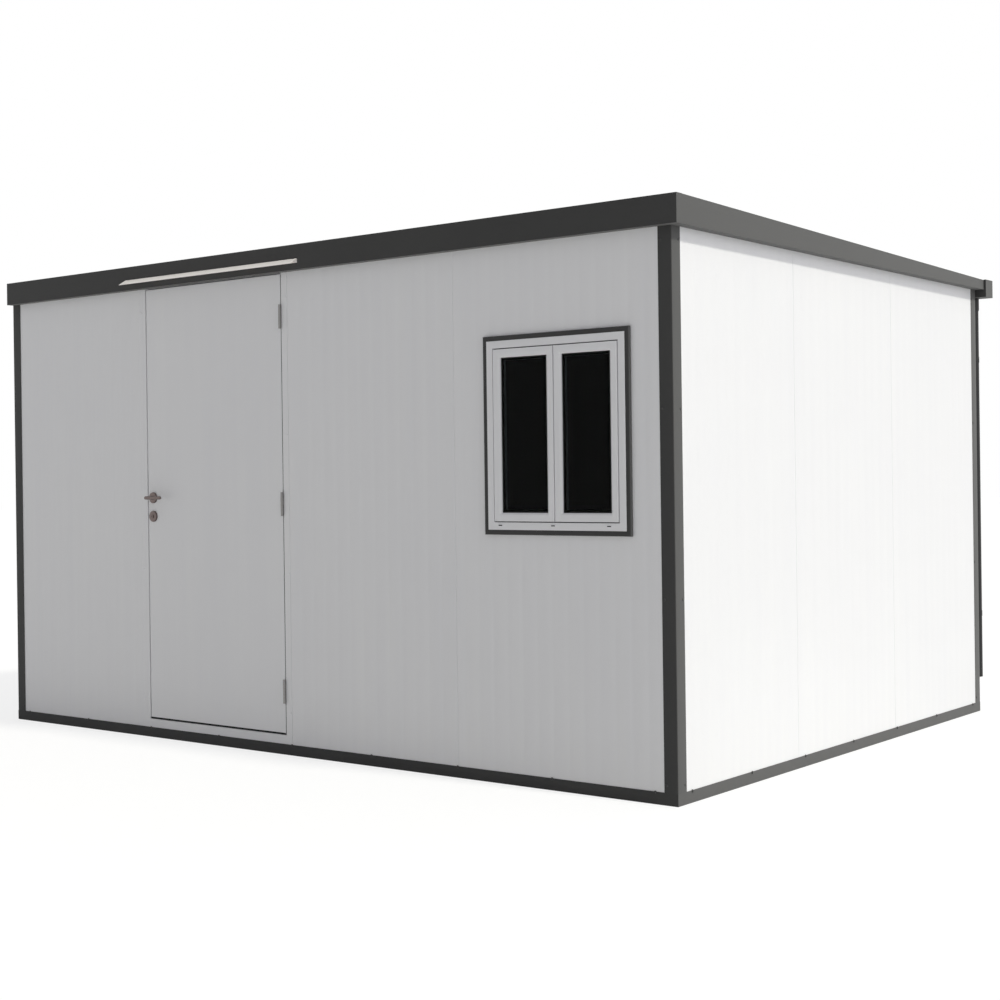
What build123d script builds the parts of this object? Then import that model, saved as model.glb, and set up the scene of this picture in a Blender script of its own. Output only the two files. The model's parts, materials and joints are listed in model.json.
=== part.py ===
import os

from build123d import *

os.makedirs("parts", exist_ok=True)

# Whole building, over the panel faces; the soffit is the level underside of the fascias
building_length = 4000
building_depth = 2930
soffit_height = 2150
panel_thickness = 40
panel_cover = 953
sheet = 1.5

# Panel joints: a tongue on one edge in a groove of the next, with bevels at both faces
tongue_width = 12
tongue_length = 10
joint_play = 0.5
joint_bevel = 2

# Base rails, corner trims and floor
base_rail_height = 48
corner_flange = 60
batten_width = 45
batten_height = 45
batten_count = 9
batten_margin = 120
deck_thickness = 20
deck_gap = 20

# Roof and fascias
fascia_height = 111
fascia_top_flange = 40
overhang_front = 36
overhang_right = 46
overhang_left = 3
overhang_back = 25
roof_thickness = 40
roof_drop = 62
roof_panel_count = 4
back_panel_count = 4

# Gutter and downpipe
gutter_width = 90
gutter_drop = 38
gutter_rise = 50
gutter_wall = 2
gutter_reach = 12
gutter_joint = 0.5
pipe_radius = 32
pipe_wall = 2
pipe_inset = 4
pipe_standoff = 18
pipe_foot = 170
socket_height = 60
clip_height = 30
clip_wall = 3
clip_stem = 24
clip_shares = (0.16, 0.83)

# Doorway: the module is the stretch of front wall that the frame and leaf fill
door_module_start = 1000
door_module_width = 1000
latch_jamb_width = 43
hinge_jamb_width = 35
sill_height = 88
sill_nose_height = 18
door_gap = 6
stop_gap = 5
stop_thickness = 10
stop_width = 18
door_thickness = 40
leaf_bevel = 2

# Hinges; the share is the frame knuckle's part of the height
hinge_margin = 136
hinge_height = 106
frame_knuckle_share = 0.3
knuckle_radius = 6.5
pin_radius = 3.5
pin_clearance = 0.05
pin_top_gap = 4
hinge_plate = 2
hinge_plate_depth = 30
hinge_play = 0.5

# Lock and lever
lever_height = 1149
cylinder_drop = 89
backset = 38
rose_radius = 26
rose_thickness = 9
rose_round = 3
spindle_bore = 11
neck_radius = 9
neck_clearance = 0.25
lever_standoff = 58
lever_length = 118
lever_radius = 8
lever_bend = 16
lever_end_round = 7
cylinder_radius = 8.5
cylinder_proud = 4

# Window, measured over the dark trim, in the panel at the right end of the front wall
window_panel_width = 1047
window_inset = 533
window_width = 700
window_height = 793
window_bottom = 997
trim_width = 20
trim_proud = 14
trim_chamfer = 3
frame_width = 30
frame_proud = 16
frame_depth = 60
sash_stile = 34
sash_proud = 18
sash_depth = 40
sash_play = 4
sash_lip_depth = 14
sash_bevel = 6
meeting_gap = 4
seat_gap = 1
glass_setback = 14
glass_thickness = 20

# Rain deflector over the door, lapping past the door module at both sides
deflector_lap_latch = 52
deflector_lap_hinge = 103
deflector_rise = 49
deflector_depth = 45
deflector_fall = 26
deflector_flange = 20
deflector_wall = 2

# Lines that several pieces share
left = -building_length / 2
right = building_length / 2
front = -building_depth / 2
back = building_depth / 2
wall_foot = sheet
eaves_left = left - overhang_left
eaves_right = right + overhang_right
eaves_front = front - overhang_front
eaves_back = back + overhang_back
ridge_height = soffit_height + fascia_height
roof_slope = roof_drop / building_depth


def roof_top(y):
    """Height of the roof's upper face at y, falling to the back."""
    return ridge_height - sheet - (y - eaves_front - sheet) * roof_slope


def roof_under(y):
    """Height of the roof's lower face at y."""
    return roof_top(y) - roof_thickness


def panel_section(start, end, thickness, grooved, tongued):
    """Outline of a panel as (run, depth) points, with its start grooved and its end tongued if asked."""
    middle = thickness / 2
    tongue = tongue_width / 2
    groove = tongue + joint_play
    groove_end = start + tongue_length + joint_play
    start_edge = [(start, thickness), (start, 0)]
    end_edge = [(end, 0), (end, thickness)]
    if grooved:
        start_edge = [
            (start + joint_bevel, thickness),
            (start, thickness - joint_bevel),
            (start, middle + groove),
            (groove_end, middle + groove),
            (groove_end, middle - groove),
            (start, middle - groove),
            (start, joint_bevel),
            (start + joint_bevel, 0),
        ]
    if tongued:
        end_edge = [
            (end - joint_bevel, 0),
            (end, joint_bevel),
            (end, middle - tongue),
            (end + tongue_length, middle - tongue),
            (end + tongue_length, middle + tongue),
            (end, middle + tongue),
            (end, thickness - joint_bevel),
            (end - joint_bevel, thickness),
        ]
    return start_edge + end_edge


def save(piece, label):
    """Labels a finished piece and writes it."""
    piece.part.label = label
    export_step(piece.part, f"parts/{label}.step")


front_wall_top = roof_under(front + panel_thickness)
back_wall_top = roof_under(back)

# Base rails: folded channels that the panels stand in, mitred at the corners
mitre_front_left = Plane(origin=(left - sheet, front - sheet, 0), z_dir=(1, -1, 0))
mitre_front_right = Plane(origin=(right + sheet, front - sheet, 0), z_dir=(-1, -1, 0))
mitre_back_left = Plane(origin=(left - sheet, back + sheet, 0), z_dir=(-1, -1, 0))
with BuildPart() as base_rail_front:
    with BuildSketch(Plane.YZ.offset(left - sheet)):
        Polygon(
            (front - sheet, 0),
            (front + panel_thickness + sheet, 0),
            (front + panel_thickness + sheet, base_rail_height),
            (front + panel_thickness, base_rail_height),
            (front + panel_thickness, sheet),
            (front, sheet),
            (front, base_rail_height),
            (front - sheet, base_rail_height),
            align=None,
        )
    extrude(amount=building_length + 2 * sheet)
    split(bisect_by=mitre_front_left, keep=Keep.TOP)
    split(bisect_by=mitre_front_right, keep=Keep.TOP)
save(base_rail_front, "base_rail_front")
with BuildPart() as base_rail_back:
    mirror(base_rail_front.part, about=Plane.XZ)
save(base_rail_back, "base_rail_back")
with BuildPart() as base_rail_left:
    with BuildSketch(Plane.XZ.offset(-(front - sheet))):
        Polygon(
            (left - sheet, 0),
            (left + panel_thickness + sheet, 0),
            (left + panel_thickness + sheet, base_rail_height),
            (left + panel_thickness, base_rail_height),
            (left + panel_thickness, sheet),
            (left, sheet),
            (left, base_rail_height),
            (left - sheet, base_rail_height),
            align=None,
        )
    extrude(amount=-(building_depth + 2 * sheet))
    split(bisect_by=mitre_front_left, keep=Keep.BOTTOM)
    split(bisect_by=mitre_back_left, keep=Keep.TOP)
save(base_rail_left, "base_rail_left")
with BuildPart() as base_rail_right:
    mirror(base_rail_left.part, about=Plane.YZ)
save(base_rail_right, "base_rail_right")

# Floor: battens from rail to rail and a deck on them, just under the sill
batten_run = building_depth - 2 * (panel_thickness + sheet)
batten_spread = building_length - 2 * (panel_thickness + batten_margin)
with BuildPart() as floor_battens:
    with BuildSketch():
        with GridLocations(batten_spread / (batten_count - 1), 0, batten_count, 1):
            Rectangle(batten_width, batten_run)
    extrude(amount=batten_height)
save(floor_battens, "floor_battens")
with BuildPart() as floor_deck:
    with BuildSketch(Plane.XY.offset(batten_height)):
        deck_inset = 2 * (panel_thickness + deck_gap)
        Rectangle(building_length - deck_inset, building_depth - deck_inset)
    extrude(amount=deck_thickness)
save(floor_deck, "floor_deck")

# Front wall panels beside the door, and the panel that holds the window
door_left = left + door_module_start
door_right = door_left + door_module_width
window_joint = right - window_panel_width
window_x = right - window_inset
window_z = window_bottom + window_height / 2
frame_outer_width = window_width - 2 * trim_width
frame_outer_height = window_height - 2 * trim_width
for label, start, end, tongued in (
    ("front_panel_left", left, door_left, False),
    ("front_panel_middle", door_right, window_joint, True),
):
    section = panel_section(start, end, panel_thickness, False, tongued)
    with BuildPart() as front_panel:
        with BuildSketch(Plane.XY.offset(wall_foot)):
            Polygon(*[(run, front + depth) for run, depth in section], align=None)
        extrude(amount=front_wall_top - wall_foot)
    save(front_panel, label)
section = panel_section(window_joint, right, panel_thickness, True, False)
with BuildPart() as front_panel_window:
    with BuildSketch(Plane.XY.offset(wall_foot)):
        Polygon(*[(run, front + depth) for run, depth in section], align=None)
    extrude(amount=front_wall_top - wall_foot)
    with BuildSketch(Plane.XZ.offset(-front)):
        with Locations((window_x, window_z)):
            Rectangle(frame_outer_width, frame_outer_height)
    extrude(amount=-panel_thickness, mode=Mode.SUBTRACT)
save(front_panel_window, "front_panel_window")

# Side wall panels between the front and back walls, their tops cut to the roof's fall
side_joints = (
    front + panel_thickness,
    front + panel_cover,
    front + 2 * panel_cover,
    back - panel_thickness,
)
side_places = ("front", "middle", "back")
roof_underside = Plane(origin=(0, front, roof_under(front)), z_dir=(0, roof_slope, 1))
for place, start, end in zip(side_places, side_joints, side_joints[1:]):
    section = panel_section(start, end, panel_thickness, place != "front", place != "back")
    with BuildPart() as left_panel:
        with BuildSketch(Plane.XY.offset(wall_foot)):
            Polygon(*[(left + depth, run) for run, depth in section], align=None)
        extrude(amount=ridge_height - wall_foot)
        split(bisect_by=roof_underside, keep=Keep.BOTTOM)
    save(left_panel, f"left_panel_{place}")
    with BuildPart() as right_panel:
        mirror(left_panel.part, about=Plane.YZ)
    save(right_panel, f"right_panel_{place}")

# Back wall panels, counted from the left seen from the front
back_cover = building_length / back_panel_count
for number in range(back_panel_count):
    start = left + number * back_cover
    tongued = number < back_panel_count - 1
    section = panel_section(start, start + back_cover, panel_thickness, number > 0, tongued)
    with BuildPart() as back_panel:
        with BuildSketch(Plane.XY.offset(wall_foot)):
            Polygon(*[(run, back - depth) for run, depth in section], align=None)
        extrude(amount=back_wall_top - wall_foot)
    save(back_panel, f"back_panel_{number + 1}")

# Door frame: jambs the full height of the wall, head and sill between them, with a stop
# behind the leaf all round
opening_left = door_left + latch_jamb_width
opening_right = door_right - hinge_jamb_width
stop_front = front + door_thickness + stop_gap
stop_back = stop_front + stop_thickness
wall_inside = front + panel_thickness
with BuildPart() as door_jamb_latch:
    with BuildSketch(Plane.XY.offset(wall_foot)):
        Polygon(
            (door_left, front),
            (opening_left, front),
            (opening_left, wall_inside),
            (door_left, wall_inside),
            align=None,
        )
    extrude(amount=front_wall_top - wall_foot)
    with BuildSketch(Plane.XY.offset(sill_height)):
        Polygon(
            (door_left, wall_inside),
            (opening_left, wall_inside),
            (opening_left, stop_front),
            (opening_left + stop_width, stop_front),
            (opening_left + stop_width, stop_back),
            (door_left, stop_back),
            align=None,
        )
    extrude(amount=soffit_height - sill_height)
save(door_jamb_latch, "door_jamb_latch")
with BuildPart() as door_jamb_hinge:
    with BuildSketch(Plane.XY.offset(wall_foot)):
        Polygon(
            (door_right, front),
            (opening_right, front),
            (opening_right, wall_inside),
            (door_right, wall_inside),
            align=None,
        )
    extrude(amount=front_wall_top - wall_foot)
    with BuildSketch(Plane.XY.offset(sill_height)):
        Polygon(
            (door_right, wall_inside),
            (opening_right, wall_inside),
            (opening_right, stop_front),
            (opening_right - stop_width, stop_front),
            (opening_right - stop_width, stop_back),
            (door_right, stop_back),
            align=None,
        )
    extrude(amount=soffit_height - sill_height)
save(door_jamb_hinge, "door_jamb_hinge")
with BuildPart() as door_head:
    with BuildSketch(Plane.YZ.offset(opening_left)):
        Polygon(
            (front, soffit_height),
            (stop_back, soffit_height),
            (stop_back, soffit_height + sill_nose_height),
            (wall_inside, soffit_height + sill_nose_height),
            (wall_inside, front_wall_top),
            (front, front_wall_top),
            align=None,
        )
    extrude(amount=opening_right - opening_left)
    with BuildSketch(Plane.YZ.offset(opening_left + stop_width)):
        Polygon(
            (stop_front, soffit_height - stop_width),
            (stop_back, soffit_height - stop_width),
            (stop_back, soffit_height),
            (stop_front, soffit_height),
            align=None,
        )
    extrude(amount=opening_right - opening_left - 2 * stop_width)
save(door_head, "door_head")
with BuildPart() as door_sill:
    with BuildSketch(Plane.YZ.offset(opening_left)):
        Polygon(
            (front, wall_foot),
            (wall_inside, wall_foot),
            (wall_inside, sill_height - sill_nose_height),
            (stop_back, sill_height - sill_nose_height),
            (stop_back, sill_height),
            (front, sill_height),
            align=None,
        )
    extrude(amount=opening_right - opening_left)
    with BuildSketch(Plane.YZ.offset(opening_left + stop_width)):
        Polygon(
            (stop_front, sill_height),
            (stop_back, sill_height),
            (stop_back, sill_height + stop_width),
            (stop_front, sill_height + stop_width),
            align=None,
        )
    extrude(amount=opening_right - opening_left - 2 * stop_width)
save(door_sill, "door_sill")

# Corner trims: folded angles over the panel ends, from the base rails to the soffit
trim_inner_x = left - sheet + corner_flange
trim_inner_y = front - sheet + corner_flange
with BuildPart() as corner_trim_front_left:
    with BuildSketch(Plane.XY.offset(base_rail_height)):
        Polygon(
            (left - sheet, front - sheet),
            (trim_inner_x, front - sheet),
            (trim_inner_x, front),
            (left, front),
            (left, trim_inner_y),
            (left - sheet, trim_inner_y),
            align=None,
        )
    extrude(amount=soffit_height - base_rail_height)
save(corner_trim_front_left, "corner_trim_front_left")
with BuildPart() as corner_trim_front_right:
    mirror(corner_trim_front_left.part, about=Plane.YZ)
save(corner_trim_front_right, "corner_trim_front_right")
with BuildPart() as corner_trim_back_left:
    mirror(corner_trim_front_left.part, about=Plane.XZ)
save(corner_trim_back_left, "corner_trim_back_left")
with BuildPart() as corner_trim_back_right:
    mirror(corner_trim_front_right.part, about=Plane.XZ)
save(corner_trim_back_right, "corner_trim_back_right")

# Roof panels side by side, each running from the front fascia to the gutter
roof_left = eaves_left + sheet
roof_right = eaves_right - sheet
roof_front = eaves_front + sheet
roof_cover = (roof_right - roof_left) / roof_panel_count
roof_run = Vector(0, eaves_back - roof_front, roof_top(eaves_back) - roof_top(roof_front))
for number in range(roof_panel_count):
    start = roof_left + number * roof_cover
    tongued = number < roof_panel_count - 1
    section = panel_section(start, start + roof_cover, roof_thickness, number > 0, tongued)
    with BuildPart() as roof_panel:
        with BuildSketch(Plane.XZ.offset(-roof_front)):
            Polygon(*[(run, roof_top(roof_front) - depth) for run, depth in section], align=None)
        extrude(amount=roof_run.length, dir=roof_run)
    save(roof_panel, f"roof_panel_{number + 1}")

# Fascias: folded channels round the roof's edge; the side ones taper with the fall and end
# at the gutter
flange_back = eaves_front + fascia_top_flange
gutter_front = back + sheet
with BuildPart() as fascia_front:
    with BuildSketch(Plane.YZ.offset(eaves_left)):
        Polygon(
            (eaves_front, soffit_height),
            (front, soffit_height),
            (front, soffit_height + sheet),
            (roof_front, soffit_height + sheet),
            (roof_front, ridge_height - sheet),
            (flange_back, ridge_height - sheet),
            (flange_back, ridge_height),
            (eaves_front, ridge_height),
            align=None,
        )
    extrude(amount=eaves_right - eaves_left)
save(fascia_front, "fascia_front")
for label, edge, wall, inward in (
    ("fascia_left", eaves_left, left, 1),
    ("fascia_right", eaves_right, right, -1),
):
    with BuildPart() as side_fascia:
        with BuildSketch(Plane.YZ.offset(edge)):
            Polygon(
                (roof_front, soffit_height + sheet),
                (front, soffit_height + sheet),
                (front, soffit_height),
                (gutter_front, soffit_height),
                (gutter_front, roof_top(gutter_front) + sheet),
                (flange_back, roof_top(flange_back) + sheet),
                (flange_back, roof_top(flange_back)),
                (roof_front, roof_top(roof_front)),
                align=None,
            )
        extrude(amount=inward * sheet)
        with BuildSketch(Plane.YZ.offset(edge)):
            Polygon(
                (flange_back, roof_top(flange_back)),
                (gutter_front, roof_top(gutter_front)),
                (gutter_front, roof_top(gutter_front) + sheet),
                (flange_back, roof_top(flange_back) + sheet),
                align=None,
            )
        extrude(amount=inward * fascia_top_flange)
        with BuildSketch(Plane.YZ.offset(edge)):
            Polygon(
                (front, soffit_height),
                (back, soffit_height),
                (back, soffit_height + sheet),
                (front, soffit_height + sheet),
                align=None,
            )
        extrude(amount=wall - edge)
    save(side_fascia, label)

# Gutter: two lengths of folded trough behind the back wall, closed at their outer ends; the
# front wall is cut down between the fascias to let the roof's edge in
gutter_left = eaves_left - gutter_reach
gutter_right = eaves_right + gutter_reach
gutter_back = gutter_front + gutter_width
gutter_bottom = soffit_height - gutter_drop
gutter_top = soffit_height + gutter_rise
pipe_x = right - pipe_inset - pipe_radius
pipe_y = back + pipe_standoff + pipe_radius
with BuildPart() as gutter:
    with BuildSketch(Plane.YZ.offset(gutter_left)):
        Polygon(
            (gutter_front, gutter_bottom),
            (gutter_back, gutter_bottom),
            (gutter_back, gutter_top),
            (gutter_front, gutter_top),
            align=None,
        )
    extrude(amount=gutter_right - gutter_left)
    with BuildSketch(Plane.YZ.offset(gutter_left + gutter_wall)):
        Polygon(
            (gutter_front + gutter_wall, gutter_bottom + gutter_wall),
            (gutter_back - gutter_wall, gutter_bottom + gutter_wall),
            (gutter_back - gutter_wall, gutter_top),
            (gutter_front + gutter_wall, gutter_top),
            align=None,
        )
    extrude(amount=gutter_right - gutter_left - 2 * gutter_wall, mode=Mode.SUBTRACT)
    with BuildSketch(Plane.YZ.offset(eaves_left)):
        Polygon(
            (gutter_front, soffit_height),
            (gutter_front + gutter_wall, soffit_height),
            (gutter_front + gutter_wall, gutter_top),
            (gutter_front, gutter_top),
            align=None,
        )
    extrude(amount=eaves_right - eaves_left, mode=Mode.SUBTRACT)
    with BuildSketch(Plane.XY.offset(gutter_bottom)):
        with Locations((pipe_x, pipe_y)):
            Circle(pipe_radius - pipe_wall)
    extrude(amount=gutter_wall, mode=Mode.SUBTRACT)
    with BuildSketch(Plane.XY.offset(gutter_bottom)):
        with Locations(((gutter_left + gutter_right) / 2, (gutter_front + gutter_back) / 2)):
            Rectangle(gutter_joint, gutter_width)
    extrude(amount=gutter_drop + gutter_rise, mode=Mode.SUBTRACT)
save(gutter, "gutter")

# Downpipe under the right end of the gutter: a socket at the top, and two clips to the wall
clip_foot = back + sheet
pipe_run = gutter_bottom - pipe_foot
with BuildPart() as downpipe:
    with BuildSketch(Plane.XY.offset(pipe_foot)):
        with Locations((pipe_x, pipe_y)):
            Circle(pipe_radius)
    extrude(amount=pipe_run)
    with BuildSketch(Plane.XY.offset(gutter_bottom)):
        with Locations((pipe_x, pipe_y)):
            Circle(pipe_radius + clip_wall)
    extrude(amount=-socket_height)
    for share in clip_shares:
        with BuildSketch(Plane.XY.offset(pipe_foot + share * pipe_run)):
            with Locations((pipe_x, pipe_y)):
                Circle(pipe_radius + clip_wall)
            with Locations((pipe_x, (clip_foot + pipe_y) / 2)):
                Rectangle(clip_stem, pipe_y - clip_foot)
        extrude(amount=clip_height)
    with BuildSketch(Plane.XY.offset(pipe_foot)):
        with Locations((pipe_x, pipe_y)):
            Circle(pipe_radius - pipe_wall)
    extrude(amount=pipe_run, mode=Mode.SUBTRACT)
save(downpipe, "downpipe")

# Rain deflector: a folded aluminium hood on the front fascia, over the door
deflector_left = door_left - deflector_lap_latch
deflector_top = soffit_height + deflector_rise
deflector_front = eaves_front - deflector_depth
deflector_slope = deflector_fall / deflector_depth
hood_under = deflector_top - deflector_wall - deflector_wall * deflector_slope
with BuildPart() as rain_deflector:
    with BuildSketch(Plane.YZ.offset(deflector_left)):
        Polygon(
            (eaves_front, deflector_top - deflector_flange),
            (eaves_front, deflector_top),
            (deflector_front, deflector_top - deflector_fall),
            (deflector_front, deflector_top - deflector_fall - deflector_wall),
            (eaves_front - deflector_wall, hood_under),
            (eaves_front - deflector_wall, deflector_top - deflector_flange),
            align=None,
        )
    extrude(amount=deflector_lap_latch + door_module_width + deflector_lap_hinge)
save(rain_deflector, "rain_deflector")

# Window: dark trim on the wall, white frame through it, two sashes and their glass
with BuildPart() as window_trim:
    with BuildSketch(Plane.XZ.offset(-front)):
        with Locations((window_x, window_z)):
            Rectangle(window_width, window_height)
    extrude(amount=trim_proud)
    chamfer(window_trim.faces().sort_by(Axis.Y)[0].edges(), trim_chamfer)
    with BuildSketch(Plane.XZ.offset(-front)):
        with Locations((window_x, window_z)):
            Rectangle(frame_outer_width, frame_outer_height)
    extrude(amount=trim_proud, mode=Mode.SUBTRACT)
save(window_trim, "window_trim")
frame_front = front - frame_proud
frame_inner_width = frame_outer_width - 2 * frame_width
frame_inner_height = frame_outer_height - 2 * frame_width
with BuildPart() as window_frame:
    with BuildSketch(Plane.XZ.offset(-frame_front)):
        with Locations((window_x, window_z)):
            Rectangle(frame_outer_width, frame_outer_height)
            Rectangle(frame_inner_width, frame_inner_height, mode=Mode.SUBTRACT)
    extrude(amount=-frame_depth)
save(window_frame, "window_frame")
sash_front = front - sash_proud
sash_seat = sash_front + sash_lip_depth
sash_width = (frame_inner_width - meeting_gap) / 2 - sash_play
sash_height = frame_inner_height - 2 * sash_play
sash_spread = sash_width + meeting_gap
seat_width = (frame_inner_width - seat_gap) / 2
seat_spread = seat_width + seat_gap
pane_width = sash_width - 2 * sash_stile
pane_height = sash_height - 2 * sash_stile
with BuildPart() as window_sashes:
    with BuildSketch(Plane.XZ.offset(-sash_seat)):
        with Locations((window_x, window_z)):
            with GridLocations(seat_spread, 0, 2, 1):
                Rectangle(seat_width, frame_inner_height)
    extrude(amount=-(sash_depth - sash_lip_depth))
    with BuildSketch(Plane.XZ.offset(-sash_front)):
        with Locations((window_x, window_z)):
            with GridLocations(sash_spread, 0, 2, 1):
                Rectangle(sash_width, sash_height)
    extrude(amount=-sash_lip_depth)
    with BuildSketch(Plane.XZ.offset(-sash_front)):
        with Locations((window_x, window_z)):
            with GridLocations(sash_spread, 0, 2, 1):
                Rectangle(pane_width, pane_height)
    extrude(amount=-sash_depth, mode=Mode.SUBTRACT)
    for lip in window_sashes.faces().sort_by(Axis.Y)[:2]:
        chamfer(lip.inner_wires().edges(), sash_bevel)
save(window_sashes, "window_sashes")
with BuildPart() as window_glass:
    with BuildSketch(Plane.XZ.offset(-(sash_front + glass_setback))):
        with Locations((window_x, window_z)):
            with GridLocations(sash_spread, 0, 2, 1):
                Rectangle(pane_width, pane_height)
    extrude(amount=-glass_thickness)
save(window_glass, "window_glass")

# Door leaf with its edges folded over, bored for the lever's spindle and the key cylinder
leaf_left = opening_left + door_gap
leaf_right = opening_right - door_gap
leaf_bottom = sill_height + door_gap
leaf_top = soffit_height - door_gap
lever_x = leaf_left + backset
cylinder_z = lever_height - cylinder_drop
with BuildPart() as door_leaf:
    with BuildSketch(Plane.XZ.offset(-front)):
        Polygon(
            (leaf_left, leaf_bottom),
            (leaf_right, leaf_bottom),
            (leaf_right, leaf_top),
            (leaf_left, leaf_top),
            align=None,
        )
    extrude(amount=-door_thickness)
    chamfer(door_leaf.faces().sort_by(Axis.Y)[0].edges(), leaf_bevel)
    with BuildSketch(Plane.XZ.offset(-front)):
        with Locations((lever_x, lever_height)):
            Circle(spindle_bore)
        with Locations((lever_x, cylinder_z)):
            Circle(cylinder_radius)
    extrude(amount=-door_thickness, mode=Mode.SUBTRACT)
save(door_leaf, "door_leaf")

# Lift-off hinges in the gap: the lower knuckle and pin on the frame, the upper on the door
hinge_x = opening_right - door_gap / 2
hinge_y = front - knuckle_radius
hinge_heights = (
    leaf_bottom + hinge_margin,
    (leaf_bottom + leaf_top - hinge_height) / 2,
    leaf_top - hinge_margin - hinge_height,
)
frame_knuckle = frame_knuckle_share * hinge_height
door_knuckle = hinge_height - frame_knuckle - hinge_play
plate_front = front + hinge_play
plate_back = front + hinge_plate_depth
with BuildPart() as hinge_frame_leaves:
    for height in hinge_heights:
        with BuildSketch(Plane.XY.offset(height)):
            Polygon(
                (opening_right - hinge_plate, plate_front),
                (opening_right, plate_front),
                (opening_right, plate_back),
                (opening_right - hinge_plate, plate_back),
                align=None,
            )
        extrude(amount=hinge_height)
        with BuildSketch(Plane.XY.offset(height)):
            Polygon(
                (opening_right - hinge_plate, hinge_y),
                (opening_right, hinge_y),
                (opening_right, plate_front),
                (opening_right - hinge_plate, plate_front),
                align=None,
            )
            with Locations((hinge_x, hinge_y)):
                Circle(knuckle_radius)
        extrude(amount=frame_knuckle)
        with BuildSketch(Plane.XY.offset(height + frame_knuckle)):
            with Locations((hinge_x, hinge_y)):
                Circle(pin_radius)
        extrude(amount=hinge_play + door_knuckle - pin_top_gap)
save(hinge_frame_leaves, "hinge_frame_leaves")
with BuildPart() as hinge_door_leaves:
    for height in hinge_heights:
        upper = height + frame_knuckle + hinge_play
        with BuildSketch(Plane.XY.offset(height)):
            Polygon(
                (leaf_right, plate_front),
                (leaf_right + hinge_plate, plate_front),
                (leaf_right + hinge_plate, plate_back),
                (leaf_right, plate_back),
                align=None,
            )
        extrude(amount=hinge_height)
        with BuildSketch(Plane.XY.offset(upper)):
            Polygon(
                (leaf_right, hinge_y),
                (leaf_right + hinge_plate, hinge_y),
                (leaf_right + hinge_plate, plate_front),
                (leaf_right, plate_front),
                align=None,
            )
            with Locations((hinge_x, hinge_y)):
                Circle(knuckle_radius)
        extrude(amount=door_knuckle)
        with BuildSketch(Plane.XY.offset(upper)):
            with Locations((hinge_x, hinge_y)):
                Circle(pin_radius + pin_clearance)
        extrude(amount=door_knuckle - pin_top_gap / 2, mode=Mode.SUBTRACT)
save(hinge_door_leaves, "hinge_door_leaves")

# Lock: a rose round each lever neck, and a key cylinder through the leaf with its roses
leaf_inside = front + door_thickness
with BuildPart() as door_lock:
    for face, outward in ((front, 1), (leaf_inside, -1)):
        with BuildSketch(Plane.XZ.offset(-face)):
            with Locations((lever_x, lever_height)):
                Circle(rose_radius)
                Circle(neck_radius + neck_clearance, mode=Mode.SUBTRACT)
            with Locations((lever_x, cylinder_z)):
                Circle(rose_radius)
        extrude(amount=outward * rose_thickness)
    outer_faces = door_lock.faces().sort_by(Axis.Y)[:2] + door_lock.faces().sort_by(Axis.Y)[-2:]
    fillet([face.outer_wire().edge() for face in outer_faces], rose_round)
    with BuildSketch(Plane.XZ.offset(-(front - rose_thickness - cylinder_proud))):
        with Locations((lever_x, cylinder_z)):
            Circle(cylinder_radius)
    extrude(amount=-(door_thickness + 2 * (rose_thickness + cylinder_proud)))
save(door_lock, "door_lock")

# Lever handle: one bent bar outside and one inside, on a spindle through the leaf
leaf_middle = front + door_thickness / 2
grip_y = front - lever_standoff
with BuildPart() as lever_handle:
    with BuildLine() as grip_line:
        FilletPolyline(
            (lever_x, leaf_middle, lever_height),
            (lever_x, grip_y, lever_height),
            (lever_x + lever_length, grip_y, lever_height),
            radius=lever_bend,
        )
    with BuildSketch(Plane.XZ.offset(-leaf_middle)):
        with Locations((lever_x, lever_height)):
            Circle(lever_radius)
    sweep(path=grip_line.line)
    fillet(lever_handle.faces().sort_by(Axis.X)[-1].edges(), lever_end_round)
    with BuildSketch(Plane.XZ.offset(-leaf_middle)):
        with Locations((lever_x, lever_height)):
            Circle(neck_radius)
    extrude(amount=leaf_middle - grip_y - lever_bend)
    mirror(about=Plane.XZ.offset(-leaf_middle))
save(lever_handle, "lever_handle")
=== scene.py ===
import json
import math

import bmesh
import bpy
import numpy as np
from mathutils import Matrix, Vector


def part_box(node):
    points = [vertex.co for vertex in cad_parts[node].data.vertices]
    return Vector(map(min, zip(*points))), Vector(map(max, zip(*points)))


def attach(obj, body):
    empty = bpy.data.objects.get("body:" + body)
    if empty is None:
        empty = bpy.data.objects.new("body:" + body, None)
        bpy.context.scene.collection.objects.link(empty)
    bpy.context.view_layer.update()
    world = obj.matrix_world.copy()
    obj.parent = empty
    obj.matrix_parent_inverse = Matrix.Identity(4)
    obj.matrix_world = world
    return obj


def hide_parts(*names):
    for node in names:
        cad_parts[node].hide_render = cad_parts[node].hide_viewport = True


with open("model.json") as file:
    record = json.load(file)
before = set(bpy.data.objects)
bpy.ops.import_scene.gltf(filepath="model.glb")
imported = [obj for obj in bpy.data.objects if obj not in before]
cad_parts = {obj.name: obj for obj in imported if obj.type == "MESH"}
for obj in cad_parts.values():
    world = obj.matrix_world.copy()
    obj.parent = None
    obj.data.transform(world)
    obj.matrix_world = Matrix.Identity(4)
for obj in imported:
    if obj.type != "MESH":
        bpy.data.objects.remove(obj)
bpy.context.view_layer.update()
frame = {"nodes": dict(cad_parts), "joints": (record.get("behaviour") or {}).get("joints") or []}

# Base rails: four channels folded from 1.5 mm galvanised sheet and powder coated anthracite.
# They are mitred at the corners and lie on the ground, and the wall panels stand in them,
# held by painted hexagon screws whose washers lap the top edge of the outer flange.
rail_sheet = 0.0015
rail_fold = 0.003
rail_screw_drop = 0.003
rail_screw_margin = 0.1
rail_screw_pitch = 0.475
washer_profile = [(0.0066, 0), (0.0066, 0.0008), (0.0056, 0.0014)]
head_profile = [(0.0046, 0.0012), (0.0046, 0.0044), (0.0038, 0.0052)]
merge_distance = 1e-6
crease_angle = math.radians(32)


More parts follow.
